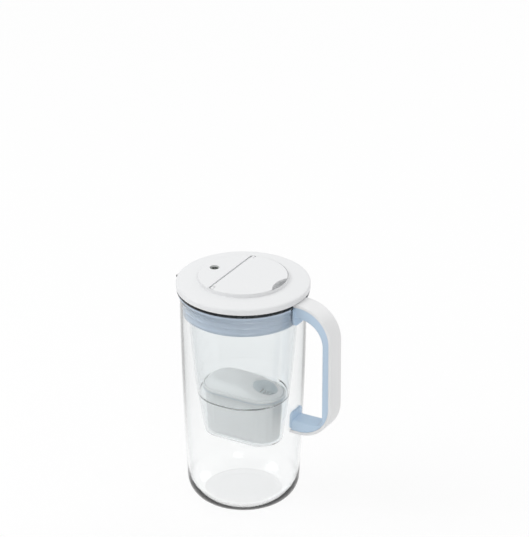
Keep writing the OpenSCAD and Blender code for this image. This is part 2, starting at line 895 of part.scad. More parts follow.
module light_seal() {
    seal_r = 0.8;
    color([0.3, 0.32, 0.35])
        at_light(light_bottom + base_t + seal_r)
            rotate_extrude()
                translate([light_r - light_t - seal_r - 0.05, 0])
                    circle(r = seal_r, $fn = 24);
}

glass_jug();
upper_saddle();
lower_saddle();
handle_liner();
handle_shell();
sealing_ring();
funnel();
cartridge_housing();
cartridge_cap();
cartridge_seal();
filter_media();
inlet_screen();
outlet_screen();
lid_cover();
flip_flap();
hinge_pin();
light_housing();
light_button();
light_lens();
light_led();
light_board();
light_switch();
light_battery();
battery_contacts();
light_base();
light_seal();
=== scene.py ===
import math

import bmesh
import bpy
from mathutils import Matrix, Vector


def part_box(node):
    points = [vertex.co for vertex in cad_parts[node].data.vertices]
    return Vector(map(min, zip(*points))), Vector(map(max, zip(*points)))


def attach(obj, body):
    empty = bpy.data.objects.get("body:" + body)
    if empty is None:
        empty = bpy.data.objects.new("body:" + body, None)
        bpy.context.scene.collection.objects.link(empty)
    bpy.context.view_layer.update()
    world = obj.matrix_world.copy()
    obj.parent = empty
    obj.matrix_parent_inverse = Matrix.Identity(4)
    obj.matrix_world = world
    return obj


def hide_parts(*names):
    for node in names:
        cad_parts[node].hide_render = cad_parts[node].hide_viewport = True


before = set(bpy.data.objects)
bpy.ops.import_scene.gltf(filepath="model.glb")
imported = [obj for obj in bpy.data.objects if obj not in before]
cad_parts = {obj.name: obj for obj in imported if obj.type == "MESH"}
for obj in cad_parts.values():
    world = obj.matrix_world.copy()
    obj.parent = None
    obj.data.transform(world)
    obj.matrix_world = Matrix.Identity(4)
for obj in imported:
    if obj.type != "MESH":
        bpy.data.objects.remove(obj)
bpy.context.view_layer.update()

MM = 0.001

# The camera, fitted to the photograph of 529 x 537 pixels
PHOTO_W = 529
PHOTO_H = 537
FOCAL_PX = 4500
VIEW_AZIMUTH = 30
VIEW_ELEVATION = 26.1
RIM_PX_PER_MM = 0.98
RIM_CENTRE_PX = (243.3, 291.3)
SENSOR_MM = 36

# Sizes read from the CAD boxes
jug_low, jug_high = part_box("glass_jug")
ring_low, ring_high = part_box("sealing_ring")
funnel_low, funnel_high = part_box("funnel")
shell_low, shell_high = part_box("handle_shell")
liner_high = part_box("handle_liner")[1]
seal_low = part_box("cartridge_seal")[0]
cap_low, cap_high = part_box("cartridge_cap")
housing_low, housing_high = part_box("cartridge_housing")
RIM_Z = jug_high.z
RIM_R = jug_high.y
LIP_REACH = -jug_low.x
RING_TOP = ring_high.z
FUNNEL_TOP = funnel_high.z
WELL_Z = funnel_low.z
SEAT_Z = seal_low.z
CAP_Z = cap_low.z

# Glass jug
FOOT_R = 58 * MM
FOOT_CORNER = 24 * MM
BELLY = 1.3 * MM
GLASS_T = 2.6 * MM
GLASS_FLOOR = 5 * MM
BASE_SHADE_R = 41 * MM            # how far the grey painted shade on the jug's inner floor reaches
AXIS_HOLE_R = 0.2 * MM      # the first and last ring of the jug close with a small face
LIP_DEPTH = 24 * MM
LIP_HALF_DEG = 14.5
LIP_FOOT = 0.25             # share of the lip's width at its lower end
LIP_EASE = 1.25             # past this share of its half-width the lip has run out

# Sealing ring
RING_WALL_R = 61.4 * MM
RING_WALL_T = 2.2 * MM
RIB_OUT = 0.7 * MM
RIB_COUNT = 3
RIB_HALF_H = 1.6 * MM
RIB_ZONE_EDGE = 3 * MM
RING_BEVEL = 0.6 * MM
POUR_HALF_W = 11 * MM

# Funnel
FUNNEL_T = 2 * MM
UPPER_WALL_R = 58.9 * MM
UPPER_WALL_H = 22 * MM
LEDGE_W = 1.8 * MM
LEDGE_SOFT = 0.5 * MM
LEDGE_RISES = (-1.6 * MM, -1 * MM, -0.2 * MM, 0.5 * MM)     # its foot, its two edges and its top
FLANGE_BEAD = 1.2 * MM
WELL_END_GAP = 1 * MM
WELL_SIDE_GAP = 1.75 * MM
WELL_INNER_CORNER = 2 * MM
BOWL_R = 50 * MM
BOWL_DEPTH = 103 * MM
BOWL_SOFT = 8 * MM
WELL_CORNER = 4 * MM
OUTLET_EDGE = 12 * MM
MARK_DEG = -90
MARK_DROP = 12.8 * MM
MARK_LIFT = 0.15 * MM
NOTCH_R = 62.2 * MM
NOTCH_HALF_W = 14.5 * MM
SHELF_GAP = 0.7 * MM

# Handle
BEND_R = 38 * MM
SHELL_T = 3.3 * MM
LINER_T = 8 * MM
UPPER_ARM_T = 13 * MM
LOWER_ARM_T = 11.5 * MM
GRIP_TOP_R = 26 * MM
GRIP_LOW_R = 9 * MM
PAD_T = 2 * MM
SHELL_GAP = 0.4 * MM
SHELL_EDGES = (1.3 * MM, 0.5 * MM)      # radii of the outer and the inner edges
LINER_EDGES = (0.4 * MM, 2.6 * MM)

# Cartridge
CART_T = 1.6 * MM
CART_DRAFT = 3 * MM
CAP_RIM_T = 3 * MM
CROWN_L = 36 * MM
CROWN_W = 26 * MM
CROWN_X = 12 * MM
SCOOP_R = 16 * MM
SCOOP_X = 28 * MM
SCOOP_DEPTH = 2 * MM
CUP_ROUND_R = 2.5 * MM
CUP_OUTLET_EDGE = 3 * MM
FLUTE_DEPTH = 0.35 * MM
FLUTE_START_X = 22 * MM
FLUTE_RUN_IN = 4 * MM
FLUTE_END_GAP = 6 * MM
FLUTES_PER_TURN = 18
CAP_BEAD = 0.7 * MM
CAP_GROOVE = ((1.6 * MM, 0.1 * MM), (2 * MM, 1.2 * MM), (2.6 * MM, 1.2 * MM))     # inset and depth
CROWN_INSET = 3 * MM
CROWN_RISE_POWER = 2.1
CROWN_WIDTH_POWER = 1.15
SLOT_COUNT = 5
SLOT_PITCH = 3.4 * MM
SLOT_HALF = (0.7 * MM, 4 * MM, 8 * MM)

# Looks
LAMP_TINT = (0.93, 0.94, 0.94)      # what one clear surface leaves of a lamp's light
EDGE_ON_FLOOR = 0.78                # darkness of the edge lines seen against the floor
EDGE_ON_WORLD = 0.4                 # and against the world
EDGE_NEAR = 0.12                    # the floor draws them from here, in metres from the axis,
EDGE_FAR = 0.3                      # and in full from here
ONE_WALL = 3.5                      # light that passed more surfaces has left the first wall
FLOOR_GLOW = 0.86
FLOOR_HALF = 14
FLOOR_DROP = 0.2 * MM
SKY_LOW = 0.42
SKY_HIGH = 0.95
LAMPS_AIM = (0, 0, 0.15)
LAMPS = [       # name, place, size and watts
    ("key", (-1.4, -0.9, 1.9), 1.4, 18),
    ("side", (1.5, -1.6, 1.1), 1.0, 6),
    ("back", (0.6, 1.9, 1.3), 1.2, 7),
]


def lerp(a, b, t):
    return a + (b - a) * t


def smooth(t):
    t = min(1, max(0, t))
    return t * t * (3 - 2 * t)


def arc(cx, cy, r, a0, a1, n):
    """n + 1 points of an arc about (cx, cy), angles in degrees."""
    angles = [math.radians(lerp(a0, a1, i / n)) for i in range(n + 1)]
    return [(cx + r * math.cos(a), cy + r * math.sin(a)) for a in angles]


def line(p, q, n):
    """The points after p on the way to q."""
    return [tuple(lerp(a, b, i / n) for a, b in zip(p, q)) for i in range(1, n + 1)]


# Meshes
def make_object(name, verts, faces, material, body, replaced=(), slot=None, sharp_deg=40):
    mesh = bpy.data.meshes.new(name)
    mesh.from_pydata([tuple(v) for v in verts], [], faces)
    bm = bmesh.new()
    bm.from_mesh(mesh)
    bmesh.ops.remove_doubles(bm, verts=bm.verts, dist=1e-6)
    bmesh.ops.recalc_face_normals(bm, faces=bm.faces)
    bm.to_mesh(mesh)
    bm.free()
    obj = bpy.data.objects.new(name, mesh)
    bpy.context.scene.collection.objects.link(obj)
    shade(obj, sharp_deg)
    obj.data.materials.append(material)
    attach(obj, body)
    if replaced:
        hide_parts(*replaced)
    return obj


def shade(obj, sharp_deg):
    obj.data.polygons.foreach_set("use_smooth", [True] * len(obj.data.polygons))
    obj.data.set_sharp_from_angle(angle=math.radians(sharp_deg))


def ring_faces(rings, count, closed_path):
    """Quads between rings of count points each; closed_path joins the last ring to the first."""
    faces = []
    last = rings if closed_path else rings - 1
    for i in range(last):
        a = i * count
        b = ((i + 1) % rings) * count
        for j in range(count):
            k = (j + 1) % count
            faces.append((a + j, a + k, b + k, b + j))
    return faces


def closed_shell(name, rings, *rest, **named):
    """A ring-shaped solid: the path of rings comes back to its start."""
    count = len(rings[0])
    verts = [p for ring in rings for p in ring]
    return make_object(name, verts, ring_faces(len(rings), count, True), *rest, **named)


def capped_solid(name, rings, *rest, **named):
    """A solid from its first ring to its last, each closed by one flat face."""
    count = len(rings[0])
    verts = [p for ring in rings for p in ring]
    faces = ring_faces(len(rings), count, False)
    faces.append(tuple(range(count)))
    faces.append(tuple(range((len(rings) - 1) * count, len(rings) * count)))
    return make_object(name, verts, faces, *rest, **named)


def rounded_loop(half_w, depth, r_near, r_far, n=5):
    """Cross-section as (y, d) points: d runs from 0 on the near side to depth on the far side."""
    loop = arc(half_w - r_near, r_near, r_near, -90, 0, n)
    loop += arc(half_w - r_far, depth - r_far, r_far, 0, 90, n)
    loop += arc(-half_w + r_far, depth - r_far, r_far, 90, 180, n)
    loop += arc(-half_w + r_near, r_near, r_near, 180, 270, n)
    return loop


# Materials
def new_material(name):
    material = bpy.data.materials.new(name)
    material.use_nodes = True
    tree = material.node_tree
    return material, tree, tree.nodes["Principled BSDF"]


def object_noise(tree, scale, detail=3, rough=0.5):
    coords = tree.nodes.new("ShaderNodeTexCoord")
    noise = tree.nodes.new("ShaderNodeTexNoise")
    noise.inputs["Scale"].default_value = scale
    noise.inputs["Detail"].default_value = detail
    noise.inputs["Roughness"].default_value = rough
    tree.links.new(coords.outputs["Object"], noise.inputs["Vector"])
    return noise.outputs["Fac"]


def ranged(tree, value, low, high):
    node = tree.nodes.new("ShaderNodeMapRange")
    node.inputs["To Min"].default_value = low
    node.inputs["To Max"].default_value = high
    tree.links.new(value, node.inputs["Value"])
    return node.outputs["Result"]


def add_bump(tree, shader, value, distance, strength, edge_r=0):
    """Fine relief from value; edge_r also rounds the look of the edges."""
    bump = tree.nodes.new("ShaderNodeBump")
    bump.inputs["Distance"].default_value = distance
    bump.inputs["Strength"].default_value = strength
    tree.links.new(value, bump.inputs["Height"])
    if edge_r:
        bevel = tree.nodes.new("ShaderNodeBevel")
        bevel.samples = 4
        bevel.inputs["Radius"].default_value = edge_r
        tree.links.new(bevel.outputs["Normal"], bump.inputs["Normal"])
    tree.links.new(bump.outputs["Normal"], shader.inputs["Normal"])


def mix_colour(tree, fac, a, b):
    mix = tree.nodes.new("ShaderNodeMix")
    mix.data_type = "RGBA"
    mix.inputs["A"].default_value = (*a, 1)
    mix.inputs["B"].default_value = (*b, 1)
    tree.links.new(fac, mix.inputs["Factor"])
    return mix.outputs["Result"]


def moulded(name, colour, shade_colour, roughness, grain_mm=0.5, coat=0.0, sheen=0.0, edge_mm=0.5):
    """Moulded plastic or rubber: faint colour drift, uneven gloss and a fine spark-eroded grain."""
    material, tree, shader = new_material(name)
    drift = object_noise(tree, 18, 2)
    tree.links.new(mix_colour(tree, ranged(tree, drift, 0.2, 0.8), colour, shade_colour),
                   shader.inputs["Base Color"])
    gloss = object_noise(tree, 55, 4)
    tree.links.new(ranged(tree, gloss, roughness - 0.05, roughness + 0.06),
                   shader.inputs["Roughness"])
    grain = object_noise(tree, 1 / (grain_mm * MM), 2, 0.6)
    add_bump(tree, shader, grain, 0.03 * MM, 0.35, edge_mm * MM)
    shader.inputs["Coat Weight"].default_value = coat
    shader.inputs["Coat Roughness"].default_value = 0.12
    shader.inputs["Sheen Weight"].default_value = sheen
    shader.inputs["Sheen Roughness"].default_value = 0.4
    return material


def clear(name, face, edge, roughness, ior, wave_mm=0.02, edge_power=2.5):
    """Clear glass or plastic: its colour darkens edge on, partly as the deeper tint of a longer way
    through the wall, partly as painted shade that draws dark edge lines.
    """
    material, tree, shader = new_material(name)
    # Painted shade: the colour turns towards the edge colour where the surface is seen edge on
    weight = tree.nodes.new("ShaderNodeLayerWeight")
    weight.inputs["Blend"].default_value = 0.5
    power = tree.nodes.new("ShaderNodeMath")
    power.operation = "POWER"
    power.inputs[1].default_value = edge_power
    tree.links.new(weight.outputs["Facing"], power.inputs[0])
    tree.links.new(mix_colour(tree, power.outputs["Value"], face, edge),
                   shader.inputs["Base Color"])
    smear = object_noise(tree, 25, 3)
    tree.links.new(ranged(tree, smear, roughness, roughness + 0.02), shader.inputs["Roughness"])
    wave = object_noise(tree, 30, 1)
    add_bump(tree, shader, wave, wave_mm * MM, 0.3)
    shader.inputs["Transmission Weight"].default_value = 1
    shader.inputs["IOR"].default_value = ior
    # Lamps reach what stands behind the wall
    path = tree.nodes.new("ShaderNodeLightPath")
    through = tree.nodes.new("ShaderNodeBsdfTransparent")
    through.inputs["Color"].default_value = (*LAMP_TINT, 1)
    mix = tree.nodes.new("ShaderNodeMixShader")
    tree.links.new(path.outputs["Is Shadow Ray"], mix.inputs["Fac"])
    tree.links.new(shader.outputs["BSDF"], mix.inputs[1])
    tree.links.new(through.outputs["BSDF"], mix.inputs[2])
    tree.links.new(mix.outputs["Shader"], tree.nodes["Material Output"].inputs["Surface"])
    return material


def metal(name, colour, roughness):
    material, tree, shader = new_material(name)
    coords = tree.nodes.new("ShaderNodeTexCoord")
    mapping = tree.nodes.new("ShaderNodeMapping")
    mapping.inputs["Scale"].default_value = (400, 400, 40)
    noise = tree.nodes.new("ShaderNodeTexNoise")
    noise.inputs["Scale"].default_value = 5
    tree.links.new(coords.outputs["Object"], mapping.inputs["Vector"])
    tree.links.new(mapping.outputs["Vector"], noise.inputs["Vector"])
    tree.links.new(ranged(tree, noise.outputs["Fac"], roughness - 0.08, roughness + 0.1),
                   shader.inputs["Roughness"])
    darker = tuple(0.85 * c for c in colour)
    tree.links.new(mix_colour(tree, noise.outputs["Fac"], colour, darker),
                   shader.inputs["Base Color"])
    add_bump(tree, shader, noise.outputs["Fac"], 0.01 * MM, 0.3)
    shader.inputs["Metallic"].default_value = 1
    return material


def cellular(name, colour, shade_colour, cells_per_m, relief_mm, randomness, roughness):
    """Granules at full randomness, or a woven mesh at none."""
    material, tree, shader = new_material(name)
    coords = tree.nodes.new("ShaderNodeTexCoord")
    cells = tree.nodes.new("ShaderNodeTexVoronoi")
    cells.inputs["Scale"].default_value = cells_per_m
    cells.inputs["Randomness"].default_value = randomness
    tree.links.new(coords.outputs["Object"], cells.inputs["Vector"])
    fac = cells.outputs["Color"] if randomness else cells.outputs["Distance"]
    tree.links.new(mix_colour(tree, fac, colour, shade_colour), shader.inputs["Base Color"])
    shader.inputs["Roughness"].default_value = roughness
    add_bump(tree, shader, cells.outputs["Distance"], relief_mm * MM, 0.8)
    return material


glass = clear("jug_glass", (0.985, 0.99, 0.99), (0.72, 0.76, 0.78), 0.0, 1.45, edge_power=4)
# Painted shade: a greyer glass for the jug's inner floor
base_painted_shade_glass = clear("base_painted_shade_glass", (0.79, 0.795, 0.8), (0.7, 0.74, 0.76), 0.0, 1.45, edge_power=4)
hopper_clear = clear("hopper_clear", (0.94, 0.955, 0.96), (0.5, 0.55, 0.58), 0.02, 1.36,
                     edge_power=4)
shelf_clear = clear("shelf_clear", (0.97, 0.98, 0.98), (0.8, 0.83, 0.85), 0.05, 1.1, edge_power=4)
lid_white = moulded("lid_white", (0.79, 0.795, 0.8), (0.75, 0.76, 0.77), 0.36)
light_white = moulded("light_white", (0.9, 0.9, 0.905), (0.86, 0.865, 0.87), 0.36)
handle_white = moulded("handle_white", (0.8, 0.8, 0.805), (0.76, 0.765, 0.77), 0.42)
cartridge_white = moulded("cartridge_white", (0.93, 0.935, 0.935), (0.89, 0.9, 0.9), 0.42)
# Painted shade: a grey for the scoop's floor, standing in for the shade in the recess
scoop_painted_shade = moulded("scoop_painted_shade", (0.6, 0.66, 0.69), (0.7, 0.75, 0.77), 0.5)
blue = moulded("soft_blue", (0.53, 0.66, 0.8), (0.49, 0.62, 0.76), 0.5, sheen=0.3, edge_mm=0.8)
ring_blue = moulded("ring_blue", (0.47, 0.555, 0.66), (0.42, 0.505, 0.61), 0.32, coat=0.4)
seal_white = moulded("seal_white", (0.75, 0.8, 0.84), (0.7, 0.75, 0.8), 0.5)
button_white = moulded("button_white", (0.7, 0.74, 0.73), (0.64, 0.68, 0.67), 0.3, coat=0.3)
lens_green = moulded("lens_green", (0.3, 0.68, 0.12), (0.5, 0.8, 0.2), 0.25, coat=0.5)
board_green = moulded("board_green", (0.03, 0.16, 0.07), (0.04, 0.2, 0.09), 0.35, coat=0.4)
dark_rubber = moulded("dark_rubber", (0.04, 0.04, 0.045), (0.06, 0.06, 0.065), 0.6)
mark_grey = moulded("mark_grey", (0.1, 0.11, 0.13), (0.08, 0.09, 0.1), 0.5, edge_mm=0.05)
steel = metal("bright_steel", (0.7, 0.71, 0.73), 0.28)
media = cellular("media_granules", (0.03, 0.03, 0.03), (0.5, 0.33, 0.16), 900, 0.6, 1, 0.7)
mesh_white = cellular("fine_mesh", (0.75, 0.78, 0.8), (0.4, 0.43, 0.46), 1400, 0.2, 0, 0.6)

CARRIED = {
    "cartridge_seal": seal_white, "filter_media": media, "inlet_screen": mesh_white,
    "outlet_screen": mesh_white, "lid_cover": lid_white, "flip_flap": lid_white, "hinge_pin": steel,
    "light_housing": light_white, "light_button": button_white, "light_lens": lens_green,
    "light_led": lens_green, "light_board": board_green, "light_switch": steel,
    "light_battery": steel, "battery_contacts": steel, "light_base": light_white,
    "light_seal": dark_rubber, "upper_saddle": blue, "lower_saddle": blue,
}
for node_name, material in CARRIED.items():
    node_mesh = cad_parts[node_name].data
    node_mesh.materials.clear()
    node_mesh.materials.append(material)


# Glass jug with a rounded foot and a pinched pouring lip
def jug_wall_r(z):
    t = (z - FOOT_CORNER) / (RIM_Z - FOOT_CORNER)
    return lerp(FOOT_R, RIM_R, t) + 4 * BELLY * t * (1 - t)


def lip_push(z, away_deg):
    """How far the wall is pushed out at height z, at an angle away from the lip's middle."""
    t = min(1, (z - (RIM_Z - LIP_DEPTH)) / LIP_DEPTH)
    if t <= 0:
        return 0
    x = abs(away_deg) / (LIP_HALF_DEG * lerp(LIP_FOOT, 1, t))
    if x >= LIP_EASE:
        return 0
    ridge = 1.1 - math.sqrt(x * x + 0.01)       # straight flanks and a rounded top
    return (LIP_REACH - RIM_R) * max(0, ridge) * smooth((LIP_EASE - x) / 0.5) * t ** 1.25


def jug_ring(r, z):
    """A ring of the jug, with its points closest together round the lip."""
    fine = 22
    away = [-fine + 0.5 * i for i in range(4 * fine + 1)]
    coarse_n = 116
    away += [fine + (360 - 2 * fine) * i / coarse_n for i in range(1, coarse_n)]
    ring = []
    for a in away:
        out = r + lip_push(z, a if a <= 180 else a - 360)
        theta = math.radians(180 + a)
        ring.append((out * math.cos(theta), out * math.sin(theta), z))
    return ring


def build_jug():
    bead = GLASS_T / 2
    top = RIM_Z - bead
    corner_x = FOOT_R - FOOT_CORNER
    inner_corner = FOOT_CORNER - GLASS_T
    inner_top = GLASS_FLOOR + inner_corner
    wall_n = 40
    bunch = [(i / wall_n) ** 0.8 for i in range(wall_n + 1)]
    profile = line((AXIS_HOLE_R, 0), (corner_x, 0), 4)
    profile += arc(corner_x, FOOT_CORNER, FOOT_CORNER, -90, 0, 20)[1:]
    profile += [(jug_wall_r(z), z) for z in (lerp(FOOT_CORNER, top, t) for t in bunch[1:])]
    profile += arc(jug_wall_r(top) - bead, top, bead, 0, 180, 8)[1:]
    profile += [(jug_wall_r(z) - GLASS_T, z)
                for z in (lerp(inner_top, top, t) for t in bunch[-2::-1])]
    profile += arc(corner_x, inner_top, inner_corner, 0, -90, 20)[1:]
    profile += line((corner_x, GLASS_FLOOR), (AXIS_HOLE_R, GLASS_FLOOR), 4)
    rings = [jug_ring(r, z) for r, z in profile]
    jug = capped_solid("jug_body", rings, glass, "jug", ("glass_jug",), "jug_glass", 60)
    # Painted shade: the upward faces of the inner floor near the axis take the greyer glass
    jug.data.materials.append(base_painted_shade_glass)
    for face in jug.data.polygons:
        across = math.hypot(face.center.x, face.center.y)
        if face.normal.z > 0 and face.center.z < RIM_Z / 2 and across < BASE_SHADE_R:
            face.material_index = 1


# Handle: a white shell and a soft liner inside it, both along one D-shaped path
def wall_x(y, z, gap):
    return math.sqrt((jug_wall_r(min(z, RIM_Z)) + gap) ** 2 - y * y)


def d_path(off, low_z, high_z, outer_x, low_r, high_r):
    """D-shaped path as (x, z) points, from its lower end at the glass to its upper one."""
    low_c = (outer_x - low_r, low_z + low_r)
    high_c = (outer_x - high_r, high_z - high_r)
    start = wall_x(0, low_z, PAD_T)
    path = [(start, low_z + off)] + line((start, low_z + off), (low_c[0], low_z + off), 6)
    path += arc(*low_c, low_r - off, -90, 0, 24)[1:]
    path += line((outer_x - off, low_c[1]), (outer_x - off, high_c[1]), 10)
    path += arc(*high_c, high_r - off, 0, 90, 24)[1:]
    end = wall_x(0, high_z, PAD_T)
    path += line((high_c[0], high_z - off), (end, high_z - off), 6)
    return path


def to_glass(section, gap):
    """Bends the end of an arm to the round glass."""
    return [(wall_x(y, z, gap), y, z) for x, y, z in section]


def build_handle():
    low_z = shell_low.z
    high_z = shell_high.z
    outer_x = shell_high.x
    d_args = (low_z, high_z, outer_x, BEND_R, BEND_R)

    loop = rounded_loop(shell_high.y, SHELL_T, *SHELL_EDGES)
    depths = [d_path(d, *d_args) for y, d in loop]
    stations = len(depths[0])
    rings = [[(path[i][0], y, path[i][1]) for (y, d), path in zip(loop, depths)]
             for i in range(stations)]
    rings[0] = to_glass(rings[0], SHELL_GAP)
    rings[-1] = to_glass(rings[-1], SHELL_GAP)
    capped_solid("handle_outer_shell", rings, handle_white, "jug", ("handle_shell",),
                 "white_plastic", 50)

    outer = d_path(SHELL_T, *d_args)
    inner = d_path(0, low_z + SHELL_T + LOWER_ARM_T, high_z - SHELL_T - UPPER_ARM_T,
                   outer_x - SHELL_T - LINER_T, GRIP_LOW_R, GRIP_TOP_R)
    rings = []
    for (ox, oz), (ix, iz) in zip(outer, inner):
        depth = math.hypot(ix - ox, iz - oz)
        rings.append([(lerp(ox, ix, d / depth), y, lerp(oz, iz, d / depth))
                      for y, d in rounded_loop(liner_high.y, depth, *LINER_EDGES)])
    rings[0] = to_glass(rings[0], PAD_T)
    rings[-1] = to_glass(rings[-1], PAD_T)
    capped_solid("handle_soft_liner", rings, blue, "jug", ("handle_liner",), "soft_blue", 50)


# Rings round the jug's axis, with the notch for the handle
NOTCH_DEG = [12.2, 12.4]


def circle_angles():
    angles = set(2 * i for i in range(180))
    for edge in NOTCH_DEG:
        angles |= {edge, 360 - edge}
    return sorted(angles)


def notched(ring):
    """The ring cut straight across where it reaches into the handle's notch."""
    return [(NOTCH_R if x > NOTCH_R and abs(y) < NOTCH_HALF_W else x, y, z) for x, y, z in ring]


def notched_circle(r, z):
    angles = [math.radians(a) for a in circle_angles()]
    return notched([(r * math.cos(a), r * math.sin(a), z) for a in angles])


def build_sealing_ring():
    foot_z = ring_low.z
    bevel = RING_BEVEL
    inner_r = RING_WALL_R - RING_WALL_T
    rib_pitch = (RIM_Z - foot_z - RIB_ZONE_EDGE) / RIB_COUNT
    wall = [(inner_r, foot_z), (RING_WALL_R - bevel, foot_z), (RING_WALL_R, foot_z + bevel)]
    for i in range(RIB_COUNT, 0, -1):
        rib_z = RIM_Z - i * rib_pitch
        wall += [(RING_WALL_R + RIB_OUT * math.cos(math.radians(a)) ** 2,
                  rib_z + RIB_HALF_H * a / 90) for a in range(-90, 91, 30)]
    wall += [(RING_WALL_R, RIM_Z + bevel), (inner_r, RIM_Z + bevel)]
    gap_deg = math.degrees(math.asin(POUR_HALF_W / RING_WALL_R))
    wall_rings = []
    for i in range(161):
        a = math.radians(lerp(-180 + gap_deg, 180 - gap_deg, i / 160))
        wall_rings.append([(r * math.cos(a), r * math.sin(a), z) for r, z in wall])
    capped_solid("ring_ribbed_wall", wall_rings, ring_blue, "ring", ("sealing_ring",),
                 "ring_silicone", 35)

    flange_r = ring_high.y - bevel
    profile = [(inner_r, RIM_Z + 0.02 * MM)]
    profile += arc(flange_r, RIM_Z + bevel, bevel, -90, 0, 4)
    profile += arc(flange_r, RING_TOP - bevel, bevel, 0, 90, 4)
    profile += arc(inner_r + bevel, RING_TOP - bevel, bevel, 90, 180, 4)
    rings = [notched_circle(r, z) for r, z in profile]
    closed_shell("ring_flange", rings, ring_blue, "ring", ("sealing_ring",), "ring_silicone", 35)


# Funnel: round at the top, oval at the bottom
def oval_ring(a, b, z):
    """An oval of half-length a and half-width b; a circle where they are equal."""
    notch = set(NOTCH_DEG) | set(-a for a in NOTCH_DEG)
    half = sorted(set(2.5 * i - 90 for i in range(73)) | notch)
    ring = []
    for side in (1, -1):
        for angle in half:
            theta = math.radians(angle)
            ring.append((side * (a - b + b * math.cos(theta)), side * b * math.sin(theta), z))
    return ring


def build_funnel():
    bowl_z = FUNNEL_TOP - BOWL_DEPTH
    ledge_z = FUNNEL_TOP - UPPER_WALL_H
    body_l = housing_high.x
    body_w = housing_high.y
    well_a = body_l - CART_DRAFT + WELL_END_GAP + FUNNEL_T
    well_b = body_w - CART_DRAFT + WELL_SIDE_GAP + FUNNEL_T
    bead = FLANGE_BEAD
    lower_wall_r = UPPER_WALL_R - LEDGE_W
    ledge_foot, low_edge, high_edge, ledge_top = (ledge_z + rise for rise in LEDGE_RISES)
    upper_slope = (lower_wall_r - BOWL_R) / (ledge_z - bowl_z)

    def loft(z, inset):
        """The wall's half-length, half-width and height at z: round above bowl_z, oval below."""
        past = z - bowl_z
        if past > -BOWL_SOFT:
            soft = (min(past, BOWL_SOFT) + BOWL_SOFT) ** 2 / (4 * BOWL_SOFT)
            past = soft + max(0, past - BOWL_SOFT)
        else:
            past = 0
        size = []
        for well in (well_a, well_b):
            slope = (BOWL_R - well) / (bowl_z - WELL_Z)
            size.append(well + slope * (z - WELL_Z) + (upper_slope - slope) * past - inset)
        return (*size, z)

    def circles(points):
        return [(r, r, z) for r, z in points]

    outlet = (well_a - OUTLET_EDGE, well_b - OUTLET_EDGE)
    outer = [(*outlet, WELL_Z)]
    for k in range(7):
        phi = math.radians(15 * k)
        z = WELL_Z + WELL_CORNER * (1 - math.cos(phi))
        outer.append(loft(z, WELL_CORNER * (1 - math.sin(phi))))
    outer += [loft(lerp(WELL_Z + WELL_CORNER, bowl_z - BOWL_SOFT, i / 10), 0) for i in range(1, 11)]
    outer += [loft(bowl_z + BOWL_SOFT * (i / 8 - 1), 0) for i in range(1, 17)]
    outer += [loft(lerp(bowl_z + BOWL_SOFT, ledge_foot, i / 6), 0) for i in range(1, 7)]
    outer += circles([(lower_wall_r + LEDGE_SOFT, low_edge), (UPPER_WALL_R - LEDGE_SOFT, high_edge),
                      (UPPER_WALL_R, ledge_top)])
    outer += circles(line((UPPER_WALL_R, ledge_top), (UPPER_WALL_R, RING_TOP), 6))
    flange_r = funnel_high.y - bead
    outer += circles(arc(flange_r, RING_TOP + bead, bead, -90, 0, 5))
    outer += circles(arc(flange_r, FUNNEL_TOP - bead, bead, 0, 90, 5))
    inner_r = UPPER_WALL_R - FUNNEL_T
    inner = circles(arc(inner_r + bead, FUNNEL_TOP - bead, bead, 90, 180, 5))
    inner += circles(line((inner_r, FUNNEL_TOP - bead), (inner_r, ledge_top), 6))
    inner += circles([(inner_r - LEDGE_SOFT, high_edge),
                      (lower_wall_r - FUNNEL_T + LEDGE_SOFT, low_edge)])
    inner += [loft(lerp(ledge_foot, bowl_z + BOWL_SOFT, i / 6), FUNNEL_T) for i in range(7)]
    shelf_under = SEAT_Z - FUNNEL_T
    hole = (body_l + SHELF_GAP, body_w + SHELF_GAP)
    inner += [loft(lerp(bowl_z + BOWL_SOFT, SEAT_Z, i / 12), FUNNEL_T) for i in range(1, 13)]
    inner += [(*hole, SEAT_Z), (*hole, shelf_under)]
    floor_z = WELL_Z + FUNNEL_T
    corner = WELL_INNER_CORNER
    inner += [loft(lerp(shelf_under, floor_z + corner, i / 8), FUNNEL_T) for i in range(9)]
    for k in range(1, 7):
        phi = math.radians(90 - 15 * k)
        z = floor_z + corner * (1 - math.cos(phi))
        inner.append(loft(z, FUNNEL_T + corner * (1 - math.sin(phi))))
    inner.append((*outlet, floor_z))
    rings = [notched(oval_ring(a, b, z)) for a, b, z in outer + inner]
    body = closed_shell("funnel_body", rings, hopper_clear, "funnel", ("funnel",),
                        "clear_plastic", 50)
    body.data.materials.append(shelf_clear)
    for face in body.data.polygons:
        at_shelf = abs(face.center.z - (SEAT_Z + shelf_under) / 2) < 0.6 * FUNNEL_T
        if at_shelf and face_inside(face, loft):
            face.material_index = 1


def face_inside(face, loft):
    """True for a face of the seat's shelf, which lies inside the wall."""
    a, b, z = loft(face.center.z, FUNNEL_T + 0.3 * MM)
    over = max(0, abs(face.center.x) - (a - b))
    return math.hypot(over, face.center.y) < b


def build_fill_mark():
    """A bar and a triangle that point at the highest water level, moulded on the funnel's wall."""
    mark_z = FUNNEL_TOP - MARK_DROP
    across = [-5.5 + 1.1 * i for i in range(11)]
    outlines = [
        [(u, 1.1) for u in across] + [(u, 2.3) for u in reversed(across)],
        [(-2.6, -3.4), (2.6, -3.4), (0, 0.4)],
    ]
    verts = []
    faces = []
    for outline in outlines:
        start = len(verts)
        count = len(outline)
        for lift in (0, MARK_LIFT):
            for u, v in outline:
                a = math.radians(MARK_DEG) + u * MM / UPPER_WALL_R
                r = UPPER_WALL_R + lift
                verts.append((r * math.cos(a), r * math.sin(a), mark_z + v * MM))
        faces.append(tuple(range(start, start + count)))
        faces.append(tuple(range(start + count, start + 2 * count)))
        for i in range(count):
            j = (i + 1) % count
            faces.append((start + i, start + j, start + count + j, start + count + i))
    make_object("fill_mark", verts, faces, mark_grey, "funnel", (), "clear_plastic")


